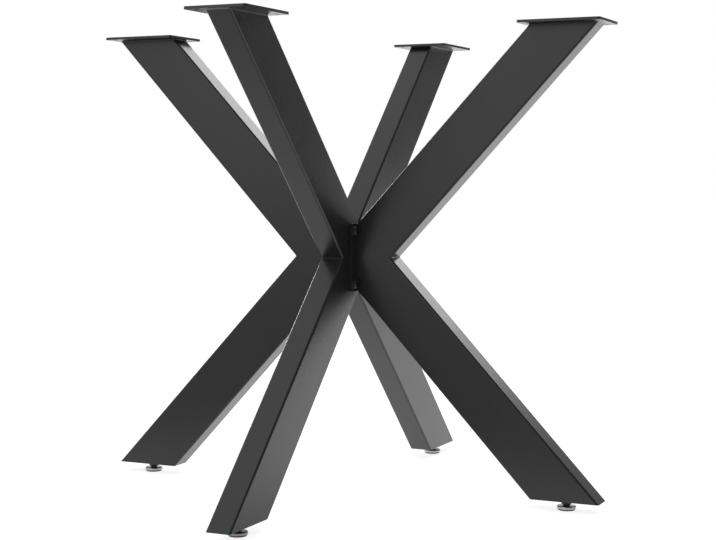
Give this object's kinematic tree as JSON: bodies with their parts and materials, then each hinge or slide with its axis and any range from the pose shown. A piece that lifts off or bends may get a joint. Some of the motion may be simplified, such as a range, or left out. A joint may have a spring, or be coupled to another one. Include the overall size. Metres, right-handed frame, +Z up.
{
  "type": "crossed metal table base",
  "caption": "Black steel table base of crossed rectangular tubes: an X frame with a chevron bolted to each side, screw plates on top and levelling feet below.",
  "frame": {"origin": "on the floor under the vertical axis of the hub, midway between the feet", "axes": "+Z up to the table top; +X towards the right-hand chevron's top plate; +Y towards the back top plate of the X frame, which stands in the YZ plane"},
  "size_m": [0.8336, 0.818, 0.711],
  "materials": {
    "black_coat": "satin black powder coat",
    "black_fastener": "black zinc plate",
    "zinc_steel": "zinc plate",
    "nickel_cap": "satin nickel plate",
    "black_nylon": "moulded nylon"
  },
  "bodies": {
    "base": {"x_frame_through_tube": "black_coat", "x_frame_upper_tube": "black_coat", "x_frame_lower_tube": "black_coat", "right_upper_tube": "black_coat", "right_lower_tube": "black_coat", "left_upper_tube": "black_coat", "left_lower_tube": "black_coat", "right_flange": "black_coat", "left_flange": "black_coat", "right_top_plate": "black_coat", "left_top_plate": "black_coat", "back_top_plate": "black_coat", "front_top_plate": "black_coat", "right_end_plate": "black_coat", "left_end_plate": "black_coat", "back_end_plate": "black_coat", "front_end_plate": "black_coat", "right_flange_bolts": "black_fastener", "right_flange_washers": "black_fastener", "right_frame_inserts": "zinc_steel", "left_flange_bolts": "black_fastener", "left_flange_washers": "black_fastener", "left_frame_inserts": "zinc_steel", "right_foot_nut": "zinc_steel", "left_foot_nut": "zinc_steel", "back_foot_nut": "zinc_steel", "front_foot_nut": "zinc_steel"},
    "right_foot": {"right_foot_stud": "black_fastener", "right_foot_cap": "nickel_cap", "right_foot_pad": "black_nylon"},
    "left_foot": {"left_foot_stud": "black_fastener", "left_foot_cap": "nickel_cap", "left_foot_pad": "black_nylon"},
    "back_foot": {"back_foot_stud": "black_fastener", "back_foot_cap": "nickel_cap", "back_foot_pad": "black_nylon"},
    "front_foot": {"front_foot_stud": "black_fastener", "front_foot_cap": "nickel_cap", "front_foot_pad": "black_nylon"}
  },
  "joints": [
    {"name": "right_foot_height", "type": "slide", "parent": "base", "child": "right_foot", "axis": [0, 0, 1], "range_m": [-0.012, 0]},
    {"name": "left_foot_height", "type": "slide", "parent": "base", "child": "left_foot", "axis": [0, 0, 1], "range_m": [-0.012, 0]},
    {"name": "back_foot_height", "type": "slide", "parent": "base", "child": "back_foot", "axis": [0, 0, 1], "range_m": [-0.012, 0]},
    {"name": "front_foot_height", "type": "slide", "parent": "base", "child": "front_foot", "axis": [0, 0, 1], "range_m": [-0.012, 0]}
  ]
}
